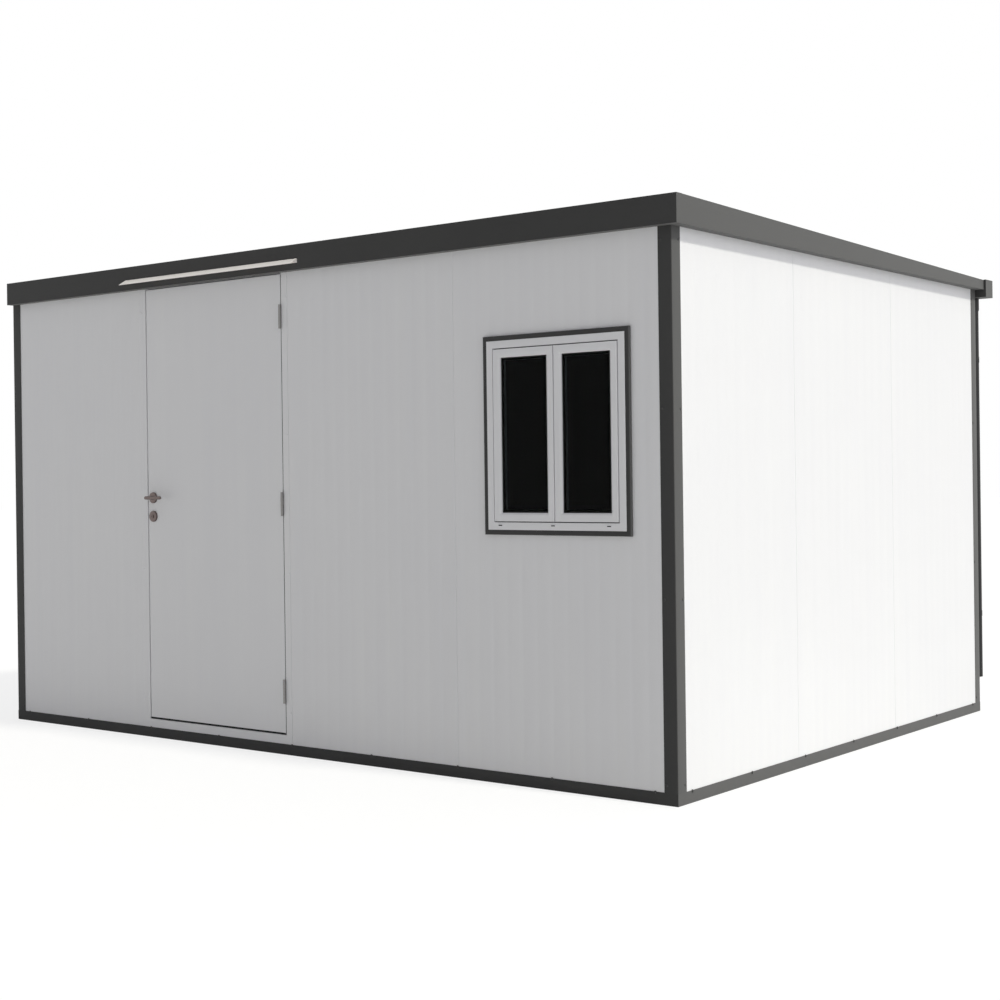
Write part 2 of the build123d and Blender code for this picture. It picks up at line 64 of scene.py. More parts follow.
def linear(code):
    """Linear colour of an sRGB hex code: each channel to the power 2.4 above the straight toe."""
    channels = np.array([int(code[k : k + 2], 16) for k in (1, 3, 5)]) / 255
    bent = np.where(channels > 0.04045, ((channels + 0.055) / 1.055) ** 2.4, channels / 12.92)
    return (*bent.tolist(), 1.0)


def add_node(tree, kind, inputs=None, **settings):
    """Adds a node: settings are its own properties, inputs its sockets, each a value or an output."""
    made = tree.nodes.new(kind)
    for name, value in settings.items():
        setattr(made, name, value)
    for name, value in (inputs or {}).items():
        if isinstance(value, bpy.types.NodeSocket):
            tree.links.new(value, made.inputs[name])
        else:
            made.inputs[name].default_value = value
    return made


def start_finish(name, sockets):
    """A new material: its principled shader with sockets set, and the place its patterns read."""
    material = bpy.data.materials.new(name)
    material.use_nodes = True
    tree = material.node_tree
    shader = tree.nodes["Principled BSDF"]
    for socket, value in sockets.items():
        shader.inputs[socket].default_value = value
    place = add_node(tree, "ShaderNodeTexCoord").outputs["Object"]
    return material, tree, shader, place


def eased(corners, ease, closed, steps=4):
    """Rounds a polyline: each corner gives way to a short parabola that leaves the run before it and
    joins the run after it a length `ease` away, or half the run where that is shorter."""
    corners = np.asarray(corners, float)
    before = np.roll(corners, 1, 0) - corners
    after = np.roll(corners, -1, 0) - corners
    entry = corners + before * np.minimum(ease / np.linalg.norm(before, axis=1), 0.5)[:, None]
    leave = corners + after * np.minimum(ease / np.linalg.norm(after, axis=1), 0.5)[:, None]
    t = np.linspace(0, 1, steps + 1)[None, :, None]
    arcs = (1 - t) ** 2 * entry[:, None] + 2 * t * (1 - t) * corners[:, None] + t**2 * leave[:, None]
    if closed:
        return arcs.reshape(-1, 2)
    return np.concatenate([corners[:1], arcs[1:-1].reshape(-1, 2), corners[-1:]])


def folded(corners, sheet, fold):
    """Section of a folded sheet: its eased middle line, moved half the sheet to either side of itself."""
    line = eased(corners, fold, False)
    along = np.gradient(line, axis=0)
    along /= np.linalg.norm(along, axis=1, keepdims=True)
    aside = np.stack([-along[:, 1], along[:, 0]], 1) * sheet / 2
    return np.concatenate([line + aside, (line - aside)[::-1]])


def skinned(rings, loop=False):
    """Quads over a grid of points, rings along the path by points round the section; a path that
    does not loop back is closed by its first and last sections."""
    count, around = rings.shape[:2]
    ring = np.arange(count if loop else count - 1)[:, None]
    spot = np.arange(around)[None, :]
    following, beside = (ring + 1) % count * around, (spot + 1) % around
    quads = [ring * around + spot, ring * around + beside, following + beside, following + spot]
    faces = [np.stack(quads, -1).reshape(-1, 4)]
    if not loop:
        faces += [spot[:, ::-1], spot + (count - 1) * around]
    return rings.reshape(-1, 3), faces


def lathed(profile, sides, loop=False):
    """A turned shape: each (radius, height) of the profile carried round the upright axis."""
    radius, height = np.asarray(profile, float).T[:, :, None]
    angle = 2 * np.pi * np.arange(sides) / sides
    rings = np.stack(np.broadcast_arrays(radius * np.cos(angle), radius * np.sin(angle), height), -1)
    return skinned(rings, loop)


def joined(shapes):
    """Several (points, faces) shapes as one, each shape's faces counted on from the points before."""
    starts = np.cumsum([0] + [len(points) for points, _ in shapes])
    faces = [block + start for (_, blocks), start in zip(shapes, starts) for block in blocks]
    return np.concatenate([points for points, _ in shapes]), faces


def set_at(shape, places, outward):
    """Copies of a small shape at several places, its own upright axis turned to point outward."""
    points, faces = shape
    axis = np.asarray(outward, float)
    aside = np.cross(axis, (0, 0, 1) if abs(axis[2]) < 0.9 else (1, 0, 0))
    aside /= np.linalg.norm(aside)
    turned = points @ np.stack([aside, np.cross(axis, aside), axis])
    return joined([(turned + place, faces) for place in np.asarray(places, float)])


def quarter_turned(points, quarters):
    """Points turned about the upright axis by whole quarters, so one side's work serves all four."""
    cos, sin = ((1, 0), (0, 1), (-1, 0), (0, -1))[quarters]
    x, y, z = points.T
    return np.stack([cos * x - sin * y, sin * x + cos * y, z], 1)


def piece(name, shape, finish, body="building", stands_for=()):
    """The mesh of a (points, faces) shape, its doubles merged, its faces turned outwards and smooth
    but for the creases, on its body."""
    points, blocks = shape
    mesh = bpy.data.meshes.new(name)
    mesh.from_pydata(points.tolist(), [], [face for block in blocks for face in block.tolist()])
    work = bmesh.new()
    work.from_mesh(mesh)
    bmesh.ops.remove_doubles(work, verts=work.verts, dist=merge_distance)
    bmesh.ops.recalc_face_normals(work, faces=work.faces)
    work.to_mesh(mesh)
    work.free()
    mesh.shade_smooth()
    mesh.set_sharp_from_angle(angle=crease_angle)
    mesh.materials.append(finish)
    made = bpy.data.objects.new(name, mesh)
    bpy.context.scene.collection.objects.link(made)
    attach(made, body)
    if stands_for:
        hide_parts(*stands_for)


# Powder coat on steel: a matt film with a faint grain, which gives it a soft sheen at a slant. The
# real grain is about 0.4 mm, drawn 3 mm wide so that it shows. Tone and gloss drift over 400 mm, what
# faces right is painted a shade paler as painted sunlight, and dust greys the lowest 60 mm a trace.
anthracite, tree, shader, place = start_finish(
    "anthracite_powder_coat",
    {"Specular IOR Level": 0.02, "IOR": 1.5, "Sheen Weight": 0.22, "Sheen Roughness": 0.5},
)
clouds = add_node(tree, "ShaderNodeTexNoise", {"Vector": place, "Scale": 1 / 0.4, "Detail": 4.0})
tone = add_node(
    tree,
    "ShaderNodeMix",
    {0: clouds.outputs["Fac"], 6: linear("#444444"), 7: linear("#4b4b4b")},
    data_type="RGBA",
)
# Surfaces that face right (+X) are painted a shade paler: painted light for the sun that falls on that side.
facing = add_node(tree, "ShaderNodeSeparateXYZ", {"Vector": place.node.outputs["Normal"]})
painted_sunlit_side = add_node(
    tree,
    "ShaderNodeMix",
    {0: facing.outputs["X"], 6: tone.outputs[2], 7: linear("#5b5b5b")},
    data_type="RGBA",
)
height = add_node(tree, "ShaderNodeSeparateXYZ", {"Vector": place}).outputs["Z"]
near_ground = add_node(
    tree,
    "ShaderNodeMapRange",
    {"Value": height, "From Min": 0.0, "From Max": 0.06, "To Min": 0.03, "To Max": 0.0},
)
dust = add_node(
    tree,
    "ShaderNodeMath",
    {0: near_ground.outputs["Result"], 1: clouds.outputs["Fac"]},
    operation="MULTIPLY",
)
dusted = add_node(
    tree,
    "ShaderNodeMix",
    {0: dust.outputs["Value"], 6: painted_sunlit_side.outputs[2], 7: linear("#8a857c")},
    data_type="RGBA",
)
gloss = add_node(
    tree,
    "ShaderNodeMapRange",
    {"Value": clouds.outputs["Fac"], "To Min": 0.42, "To Max": 0.58},
)
grain = add_node(tree, "ShaderNodeTexNoise", {"Vector": place, "Scale": 1 / 0.003, "Detail": 2.0})
relief = add_node(
    tree,
    "ShaderNodeBump",
    {"Height": grain.outputs["Fac"], "Strength": 0.35, "Distance": 0.0003},
)
tree.links.new(dusted.outputs[2], shader.inputs["Base Color"])
tree.links.new(gloss.outputs["Result"], shader.inputs["Roughness"])
tree.links.new(relief.outputs["Normal"], shader.inputs["Normal"])

hex_screw = joined([lathed(washer_profile, sides=16), lathed(head_profile, sides=6)])
rail_screws = []
for quarters, side in enumerate(("front", "right", "back", "left")):
    low, high = np.array(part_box(f"base_rail_{side}"))
    across_axis = quarters % 2 == 0
    length, width = (high - low)[[0, 1] if across_axis else [1, 0]]
    reach = np.abs([low, high]).max(0)[1 if across_axis else 0]
    half = rail_sheet / 2
    section = folded(
        [(half, high[2]), (half, half), (width - half, half), (width - half, high[2])],
        rail_sheet,
        rail_fold,
    )
    across, up = section.T
    rings = [np.stack([run - length / 2, across - reach, up], 1) for run in (across, length - across)]
    points, faces = skinned(np.stack(rings))
    piece(
        f"rail_{side}",
        (quarter_turned(points, quarters), faces),
        anthracite,
        stands_for=[f"base_rail_{side}"],
    )
    stretch = length / 2 - rail_screw_margin
    runs = np.linspace(-stretch, stretch, round(2 * stretch / rail_screw_pitch) + 1)
    spots = np.stack([runs, np.full_like(runs, -reach), np.full_like(runs, high[2] - rail_screw_drop)], 1)
    points, faces = set_at(hex_screw, spots, (0, -1, 0))
    rail_screws.append((quarter_turned(points, quarters), faces))
piece("rail_screws", joined(rail_screws), anthracite)

# Floor: sawn spruce battens on the ground from rail to rail, and planed spruce boards nailed
# across them, with their long edges eased. Only an open door shows it.
board_count = 20
board_gap = 0.0016
board_ease = 0.002
batten_shade_width = 0.4


def boxed(low, high, ease):
    """Section of a bar: the rectangle between its lowest and highest corners, all four corners eased."""
    return eased([low, (high[0], low[1]), high, (low[0], high[1])], ease, True)


def carried(section, axis, start, end):
    """A straight bar: the section at its start and at its end, where each point takes in its place along
    the axis beside its own two coordinates."""
    return skinned(np.stack([np.insert(section, axis, along, 1) for along in (start, end)]))


def dress(finish, *nodes):
    """Gives CAD nodes that keep their own shape one of the finishes made here."""
    for name in nodes:
        materials = frame["nodes"][name].data.materials
        materials.clear()
        materials.append(finish)


def spruce(name, pale, brown, grain_axis, board_width):
    """Spruce with growth rings about 4 mm apart in bands of 20 mm, drawn out along the grain, and each
    board its own shade, picked by its number across the grain."""
    ring_width, band_width, grain_length = 0.004, 0.02, 0.7
    material, tree, shader, place = start_finish(name, {"Specular IOR Level": 0.3, "Roughness": 0.62})
    stretch = [1 / band_width] * 3
    stretch[grain_axis] = 1 / grain_length
    drawn = add_node(tree, "ShaderNodeMapping", {"Vector": place, "Scale": stretch})
    rings = add_node(
        tree, "ShaderNodeTexNoise", {"Vector": drawn.outputs["Vector"], "Scale": 1.0, "Detail": 5.0}
    )
    streaks = add_node(
        tree,
        "ShaderNodeTexNoise",
        {"Vector": drawn.outputs["Vector"], "Scale": band_width / ring_width, "Detail": 3.0},
    )
    axes = add_node(tree, "ShaderNodeSeparateXYZ", {"Vector": place}).outputs
    across = axes["Y" if grain_axis == 0 else "X"]
    number = add_node(tree, "ShaderNodeMath", {0: across, 1: board_width}, operation="DIVIDE")
    whole = add_node(tree, "ShaderNodeMath", {0: number.outputs["Value"]}, operation="FLOOR")
    shade = add_node(
        tree, "ShaderNodeTexWhiteNoise", {"W": whole.outputs["Value"]}, noise_dimensions="1D"
    )
    mixed = add_node(
        tree,
        "ShaderNodeMath",
        {0: rings.outputs["Fac"], 1: streaks.outputs["Fac"]},
        operation="MULTIPLY",
    )
    spread = add_node(
        tree,
        "ShaderNodeMapRange",
        {"Value": mixed.outputs["Value"], "From Min": 0.12, "From Max": 0.42},
    )
    wood = add_node(
        tree,
        "ShaderNodeMix",
        {0: spread.outputs["Result"], 6: linear(pale), 7: linear(brown)},
        data_type="RGBA",
    )
    darken = add_node(
        tree, "ShaderNodeMapRange", {"Value": shade.outputs["Value"], "To Min": 0.82, "To Max": 1.0}
    )
    toned = add_node(
        tree,
        "ShaderNodeHueSaturation",
        {"Value": darken.outputs["Result"], "Color": wood.outputs[2]},
    )
    relief = add_node(
        tree,
        "ShaderNodeBump",
        {"Height": streaks.outputs["Fac"], "Strength": 0.2, "Distance": 0.0006},
    )
    tree.links.new(toned.outputs["Color"], shader.inputs["Base Color"])
    tree.links.new(relief.outputs["Normal"], shader.inputs["Normal"])
    return material


deck_low, deck_high = np.array(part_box("floor_deck"))
board_pitch = (deck_high[1] - deck_low[1]) / board_count

# Planed spruce gives the eye warm pale boards with fine rings, the sawn battens a duller brown.
planed_spruce = spruce("planed_spruce_boards", "#d9b98c", "#b58a58", 0, board_pitch)
sawn_spruce = spruce("sawn_spruce_battens", "#cdb187", "#a58257", 1, batten_shade_width)
dress(sawn_spruce, "floor_battens")
board = boxed((0, deck_low[2]), (board_pitch - board_gap, deck_high[2]), board_ease)
board_starts = deck_low[1] + board_gap / 2 + board_pitch * np.arange(board_count)
boards = [carried(board + (start, 0), 0, deck_low[0], deck_high[0]) for start in board_starts]
piece("deck_boards", joined(boards), planed_spruce, stands_for=["floor_deck"])

# Wall panels: 40 mm sandwich panels, two coil coated white steel faces on a foam core, rolled with
# thirteen shallow upright lines to a panel, shallower still on the side walls. Neighbours join by a
# tongue in a groove, which leaves a narrow V at the joint. They stand in the base rails.
panel_thickness = 0.04
line_pitch = 0.0733
line_width = 0.03
line_depth = 0.001
side_line_depth = 0.0005
line_profile = np.array([(-0.5, 0.0), (-0.2, 1.0), (0.2, 1.0), (0.5, 0.0)])
joint_open = 0.0004
panel_bevel = 0.002
tongue_width = 0.012
tongue_length = 0.01
tongue_play = 0.0005


def lined_panel(start, end, thickness, foot, tops, grooved=False, tongued=False, holes=(), sink=line_depth):
    """A panel as its plan section carried up its height, in (run, depth, height): both faces sink in
    shallow lines at an even pitch, the profile's shares of line width and of sink to each, the edges
    are bevelled and tongued or grooved, with the joint a little open, the top slopes evenly, and the
    quads inside a hole give way to its reveals."""
    tip, deep = end + tongue_length, start + tongue_length + tongue_play
    start, end = start + grooved * joint_open / 2, end - tongued * joint_open / 2
    count = int((end - start) / line_pitch)
    centres = (start + end) / 2 + line_pitch * (np.arange(count) - (count - 1) / 2)
    runs = (centres[:, None] + line_width * line_profile[:, 0]).ravel()
    sinks = np.tile(sink * line_profile[:, 1], count)
    cuts = [edge for hole in holes for edge in hole[:2]]
    inner = runs[(runs > start + 2 * panel_bevel) & (runs < end - 2 * panel_bevel)]
    face = np.unique(np.concatenate([[start + panel_bevel, end - panel_bevel], inner, cuts]))
    sunk = np.interp(face, runs, sinks)
    middle, half = thickness / 2, tongue_width / 2
    far_edge = [(end, panel_bevel), (end, thickness - panel_bevel)]
    near_edge = [(start, thickness - panel_bevel), (start, panel_bevel)]
    if tongued:
        front_side, back_side = middle - half, middle + half
        far_edge[1:1] = [(end, front_side), (tip, front_side), (tip, back_side), (end, back_side)]
    if grooved:
        front_side, back_side = middle - half - tongue_play, middle + half + tongue_play
        near_edge[1:1] = [(start, back_side), (deep, back_side), (deep, front_side), (start, front_side)]
    front = np.stack([face, sunk], 1)
    back = np.stack([face, thickness - sunk], 1)[::-1]
    run, depth = np.concatenate([front, far_edge, back, near_edge]).T
    levels = [foot, *sorted({edge for hole in holes for edge in hole[2:]})]
    slope = (tops[1] - tops[0]) / (end - start)
    heights = np.stack([np.full_like(run, level) for level in levels] + [tops[0] + slope * (run - start)])
    rings = np.stack(np.broadcast_arrays(run, depth, heights), -1)
    around = len(run)
    points, (quads, *faces) = skinned(rings)
    keep = np.ones((len(levels), around), bool)
    for low, high, sill, head in holes:
        inside = (run > low - merge_distance) & (run < high + merge_distance)
        bottom, top = levels.index(sill), levels.index(head)
        keep[bottom:top, inside & np.roll(inside, -1)] = False
        rim = np.flatnonzero(inside)
        turn = len(rim) // 2
        rows = np.arange(bottom, top)[:, None] * around
        faces += [rim[None] + bottom * around, rim[None, ::-1] + top * around]
        for a, b in ((rim[0], rim[-1]), (rim[turn], rim[turn - 1])):
            faces.append(np.concatenate([rows + a, rows + b, rows + around + b, rows + around + a], 1))
    return points, [quads[keep.ravel()], *faces]


# Coil coated steel: a thin white polyester film baked on flat sheet, smooth with a soft shine.
# It gives the eye a clean white with very faint upright wash marks, about 60 mm wide, that come and go
# over 700 mm, and dust in the lowest 300 mm. Its ripple is about 1 mm, drawn 5 mm wide so that it shows.
panel_white, tree, shader, place = start_finish(
    "coil_coated_white_steel", {"Specular IOR Level": 0.45, "IOR": 1.5}
)
drawn = add_node(tree, "ShaderNodeMapping", {"Vector": place, "Scale": (1 / 0.06, 1 / 0.06, 1 / 1.6)})
washes = add_node(
    tree, "ShaderNodeTexNoise", {"Vector": drawn.outputs["Vector"], "Scale": 1.0, "Detail": 4.0}
)
clouds = add_node(tree, "ShaderNodeTexNoise", {"Vector": place, "Scale": 1 / 0.7, "Detail": 3.0})
both = add_node(
    tree, "ShaderNodeMath", {0: washes.outputs["Fac"], 1: clouds.outputs["Fac"]}, operation="MULTIPLY"
)
tone = add_node(
    tree,
    "ShaderNodeMapRange",
    {"Value": both.outputs["Value"], "From Min": 0.1, "From Max": 0.45},
)
film = add_node(
    tree,
    "ShaderNodeMix",
    {0: tone.outputs["Result"], 6: linear("#eaeaed"), 7: linear("#ededef")},
    data_type="RGBA",
)
height = add_node(tree, "ShaderNodeSeparateXYZ", {"Vector": place}).outputs["Z"]
near_ground = add_node(
    tree,
    "ShaderNodeMapRange",
    {"Value": height, "From Min": 0.04, "From Max": 0.3, "To Min": 0.08, "To Max": 0.0},
)
dust = add_node(
    tree,
    "ShaderNodeMath",
    {0: near_ground.outputs["Result"], 1: washes.outputs["Fac"]},
    operation="MULTIPLY",
)
dusted = add_node(
    tree,
    "ShaderNodeMix",
    {0: dust.outputs["Value"], 6: film.outputs[2], 7: linear("#c9c4ba")},
    data_type="RGBA",
)
gloss = add_node(
    tree, "ShaderNodeMapRange", {"Value": clouds.outputs["Fac"], "To Min": 0.36, "To Max": 0.5}
)
peel = add_node(tree, "ShaderNodeTexNoise", {"Vector": place, "Scale": 1 / 0.005, "Detail": 2.0})
relief = add_node(
    tree,
    "ShaderNodeBump",
    {"Height": peel.outputs["Fac"], "Strength": 0.1, "Distance": 0.0003},
)
tree.links.new(dusted.outputs[2], shader.inputs["Base Color"])
tree.links.new(gloss.outputs["Result"], shader.inputs["Roughness"])
tree.links.new(relief.outputs["Normal"], shader.inputs["Normal"])

roof_low, roof_high = np.array(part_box("roof_panel_1"))
roof_slope = (roof_high[2] - roof_low[2] - panel_thickness) / (roof_high[1] - roof_low[1])
window_low, window_high = np.array(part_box("window_frame"))
window_hole = (window_low[0], window_high[0], window_low[2], window_high[2])

# Each run of joined panels: its wall, its panels, the axis it runs along and the way into the room.
panel_runs = (
    ("front", ("left",), 0, 1),
    ("front", ("middle", "window"), 0, 1),
    ("left", ("front", "middle", "back"), 1, 1),
    ("right", ("front", "middle", "back"), 1, -1),
    ("back", ("1", "2", "3", "4"), 0, -1),
)
for wall, parts, run_axis, inward in panel_runs:
    for number, part in enumerate(parts):
        node = f"{wall}_panel_{part}"
        low, high = np.array(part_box(node))
        grooved, tongued = number > 0, number < len(parts) - 1
        start, end = low[run_axis], high[run_axis] - tongue_length * tongued
        fall, sink = (roof_slope, side_line_depth) if run_axis else (0, line_depth)
        tops = (high[2], high[2] - fall * (end - start))
        holes = (window_hole,) if part == "window" else ()
        points, faces = lined_panel(start, end, panel_thickness, low[2], tops, grooved, tongued, holes, sink)
        run, depth, up = points.T
        depth = (low if inward > 0 else high)[1 - run_axis] + inward * depth
        points = np.stack([depth, run, up] if run_axis else [run, depth, up], 1)
        piece(f"panel_{wall}_{part}", (points, faces), panel_white, stands_for=[node])

# Door frame: white steel jambs, head and sill set into the wall, with a stop behind the leaf.
# Painted blind rivets hold the jambs to the panels, and a black rubber seal lies on the stop.
rivet_heights = (0.19, 0.808, 1.425, 2.04)
latch_rivet_inset = 0.012
hinge_rivet_inset = 0.009
seal_width = 0.009
seal_thickness = 0.004
seal_inset = 0.004
seal_ease = 0.002
stop_width = 0.018
stop_thickness = 0.01
rivet_profile = [(0.0058, 0), (0.0056, 0.0012), (0.0042, 0.0024), (0.0016, 0.003)]


def mitred_frame(section, centre, width, height):
    """A frame of one section with mitred corners: each (inset, depth) of the section carried round a
    rectangle, its corner moved in by the inset on both sides."""
    inset, depth = np.asarray(section, float).T
    corners = np.array([(-1, -1), (1, -1), (1, 1), (-1, 1)])[:, :, None]
    x = centre[0] + corners[:, 0] * (width / 2 - inset)
    z = centre[1] + corners[:, 1] * (height / 2 - inset)
    return skinned(np.stack(np.broadcast_arrays(x, depth, z), -1), True)


def patterned(name, sockets, grain, detail, shades, roughness=None):
    """A finish whose colour drifts between two shades, and its roughness between two degrees, by one
    noise that is drawn out to the grain's size along each axis."""
    material, tree, shader, place = start_finish(name, sockets)
    stretch = [1 / size for size in grain]
    drawn = add_node(tree, "ShaderNodeMapping", {"Vector": place, "Scale": stretch}).outputs["Vector"]
    noise = add_node(tree, "ShaderNodeTexNoise", {"Vector": drawn, "Scale": 1.0, "Detail": detail})
    drift = noise.outputs["Fac"]
    dark, pale = map(linear, shades)
    colour = add_node(tree, "ShaderNodeMix", {0: drift, 6: dark, 7: pale}, data_type="RGBA")
    tree.links.new(colour.outputs[2], shader.inputs["Base Color"])
    if roughness:
        smooth, rough = roughness
        spread = add_node(tree, "ShaderNodeMapRange", {"Value": drift, "To Min": smooth, "To Max": rough})
        tree.links.new(spread.outputs["Result"], shader.inputs["Roughness"])
    return material


dress(panel_white, "door_jamb_latch", "door_jamb_hinge", "door_head", "door_sill")
rivet = lathed(rivet_profile, sides=14)
latch_low, latch_high = np.array(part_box("door_jamb_latch"))
_, hinge_high = np.array(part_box("door_jamb_hinge"))
head_low, head_high = np.array(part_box("door_head"))
_, sill_high = np.array(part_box("door_sill"))
wall_face = latch_low[1]
rivet_runs = (latch_low[0] + latch_rivet_inset, hinge_high[0] - hinge_rivet_inset)
rivet_places = [(run, wall_face, z) for run in rivet_runs for z in rivet_heights]
piece("jamb_rivets", set_at(rivet, rivet_places, (0, -1, 0)), panel_white)

# Cellular rubber: a soft foamed strip, black and matt. Its pores are under a millimetre, drawn 4 mm
# wide so that they show.
black_rubber = patterned(
    "black_rubber_seal",
    {"Specular IOR Level": 0.25, "Roughness": 0.8},
    grain=(0.004, 0.004, 0.004),
    detail=2.0,
    shades=("#141516", "#232425"),
)
stop_front = latch_high[1] - stop_thickness
opening_width = head_high[0] - head_low[0]
opening_foot, opening_head = sill_high[2] - stop_width, head_low[2] + stop_width
seal_section = boxed(
    (seal_inset, stop_front - seal_thickness), (seal_inset + seal_width, stop_front), seal_ease
)
opening_centre = ((head_low[0] + head_high[0]) / 2, (opening_foot + opening_head) / 2)
piece(
    "door_seal",
    mitred_frame(seal_section, opening_centre, opening_width, opening_head - opening_foot),
    black_rubber,
)

# Corner trims: anthracite angles folded from 1.5 mm sheet, standing on the base rails and
# riveted over the ends of the panels.
trim_fold = 0.003
trim_rivet_inset = 0.01
trim_rivet_heights = (0.075, 0.764, 1.472, 2.1)
trim_rivets = []
for along_y, sign_y in (("front", 1), ("back", -1)):
    for along_x, sign_x in (("left", 1), ("right", -1)):
        node = f"corner_trim_{along_y}_{along_x}"
        low, high = np.array(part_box(node))
        flange = high[0] - low[0]
        outer_x = low[0] if sign_x > 0 else high[0]
        outer_y = low[1] if sign_y > 0 else high[1]
        half = rail_sheet / 2
        section = folded([(flange, half), (half, half), (half, flange)], rail_sheet, trim_fold)
        section = section * (sign_x, sign_y) + (outer_x, outer_y)
        piece(
            f"trim_{along_y}_{along_x}",
            carried(section, 2, low[2], high[2]),
            anthracite,
            stands_for=[node],
        )
        spot = flange - trim_rivet_inset
        on_front = [(outer_x + sign_x * spot, outer_y, z) for z in trim_rivet_heights]
        on_side = [(outer_x, outer_y + sign_y * spot, z) for z in trim_rivet_heights]
        trim_rivets.append(set_at(rivet, on_front, (0, -sign_y, 0)))
        trim_rivets.append(set_at(rivet, on_side, (-sign_x, 0, 0)))
piece("trim_rivets", joined(trim_rivets), anthracite)

# Roof panels: the same sandwich panels laid side by side, falling to the gutter, and screwed
# through to the walls by two rows of hexagon screws.
roof_panel_count = 4
roof_screw_rows = (0.26, 2.88)
roof_screw_margin = 0.12
roof_screw_pitch = 0.25
roof_left, roof_right = roof_low[0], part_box(f"roof_panel_{roof_panel_count}")[1][0]

# Zinc plated steel: a thin grey plating, slightly warm and dulled by weather, that mirrors softly.
# Its crystals are under a millimetre, drawn 6 mm wide so that they show.
zinc = patterned(
    "zinc_plated_steel",
    {"Metallic": 1.0, "Roughness": 0.45},
    grain=(0.006, 0.006, 0.006),
    detail=3.0,
    shades=("#787776", "#91908f"),
)
for number in range(roof_panel_count):
    node = f"roof_panel_{number + 1}"
    low, high = np.array(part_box(node))
    tongued = number < roof_panel_count - 1
    end = high[0] - tongue_length * tongued
    points, faces = lined_panel(
        low[0], end, panel_thickness, low[1], (high[1], high[1]), number > 0, tongued
    )
    run, depth, along = points.T
    points = np.stack([run, along, high[2] - roof_slope * (along - low[1]) - depth], 1)
    piece(f"panel_roof_{number + 1}", (points, faces), panel_white, stands_for=[node])
runs = np.arange(roof_left + roof_screw_margin, roof_right - roof_screw_margin, roof_screw_pitch)
spots = [
    (run, roof_low[1] + row, roof_high[2] - roof_slope * row) for row in roof_screw_rows for run in runs
]
piece("roof_screws", set_at(hex_screw, spots, (0, 0, 1)), zinc)

# Fascias: channels folded from 1.5 mm anthracite sheet that cap the edge of the roof on three sides,
# with their lower lip turned in under the roof. They are riveted on and keep the CAD shape.
dress(anthracite, "fascia_front", "fascia_left", "fascia_right")

# Gutter: a folded anthracite trough along the back, with a rolled bead inside its outer lip and
# flat straps from the roof's edge to that bead that keep it from opening.
bead_radius = 0.004
bead_sides = 12
strap_width = 0.025
strap_thickness = 0.002
strap_drop = 0.01
strap_count = 7
strap_margin = 0.25
strap_ease = 0.0008
gutter_wall = 0.002
gutter_low, gutter_high = np.array(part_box("gutter"))
inner_low, inner_high = gutter_low + gutter_wall, gutter_high - gutter_wall
dress(anthracite, "gutter")
angle = 2 * np.pi * np.arange(bead_sides) / bead_sides
bead_centre = (inner_high[1] - bead_radius, gutter_high[2] - bead_radius)
bead = bead_radius * np.stack([np.cos(angle), np.sin(angle)], 1) + bead_centre
bars = [carried(bead, 0, inner_low[0], inner_high[0])]
strap_low = (-strap_width / 2, gutter_high[2] - strap_drop - strap_thickness)
strap = boxed(strap_low, (strap_width / 2, gutter_high[2] - strap_drop), strap_ease)
for x in np.linspace(gutter_low[0] + strap_margin, gutter_high[0] - strap_margin, strap_count):
    bars.append(carried(strap + (x, 0), 1, roof_high[1], inner_high[1]))
piece("gutter_bead", joined(bars), anthracite)

# Downpipe: an extruded dark plastic pipe pushed into a socket under the gutter, held off the
# back corner by two clips, each a band with a stem and a screw ear.
pipe_radius = 0.032
pipe_wall = 0.002
band_radius = 0.035
clip_radius = 0.0334
socket_height = 0.06
clip_height = 0.03
clip_shares = (0.16, 0.83)
clip_bevel = (0.0008, 0.002)
socket_taper = 0.006
stem_width = 0.024
stem_ease = 0.002
stem_bite = 0.001
pipe_sides = 40
pipe_low, pipe_high = np.array(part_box("downpipe"))
pipe_x, pipe_y = (pipe_low[0] + pipe_high[0]) / 2, pipe_high[1] - band_radius
foot, top = pipe_low[2], pipe_high[2]

# Extruded hard plastic: even dark grey with lines drawn down the pipe by the die. They are about
# 0.3 mm apart, drawn 4 mm wide so that they show.
pipe_plastic = patterned(
    "dark_grey_pipe_plastic",
    {"Specular IOR Level": 0.3, "Roughness": 0.5, "IOR": 1.53},
    grain=(0.004, 0.004, 0.8),
    detail=2.0,
    shades=("#1b1b1c", "#242425"),
)
pipe_profile = [
    (pipe_radius - pipe_wall, foot),
    (pipe_radius, foot),
    (pipe_radius, top - socket_height - socket_taper),
    (band_radius, top - socket_height),
    (band_radius, top),
    (pipe_radius - pipe_wall, top),
]
shapes = [lathed(pipe_profile, pipe_sides, True)]
for share in clip_shares:
    base = foot + share * (top - foot)
    head = base + clip_height
    band = [
        (pipe_radius, base),
        (clip_radius - clip_bevel[0], base),
        (clip_radius, base + clip_bevel[1]),
        (clip_radius, head - clip_bevel[1]),
        (clip_radius - clip_bevel[0], head),
        (pipe_radius, head),
    ]
    shapes.append(lathed(band, pipe_sides, True))
    stem = boxed((-stem_width / 2, base), (stem_width / 2, head), stem_ease)
    shapes.append(carried(stem, 1, pipe_low[1] - pipe_y, -pipe_radius + stem_bite))
points, faces = joined(shapes)
piece(
    "pipe_with_clips",
    (points + (pipe_x, pipe_y, 0), faces),
    pipe_plastic,
    stands_for=["downpipe"],
)

# Rain deflector: a hood folded from 2 mm anodised aluminium, riveted to the front fascia over
# the door by the flange behind it.
hood_sheet = 0.002
hood_flange = 0.02
hood_fold = 0.004
hood_low, hood_high = np.array(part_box("rain_deflector"))
half = hood_sheet / 2
hood = folded(
    [
        (hood_high[1] - half, hood_high[2] - hood_flange),
        (hood_high[1] - half, hood_high[2] - half),
        (hood_low[1] + half, hood_low[2] + half),
    ],
    hood_sheet,
    hood_fold,
)

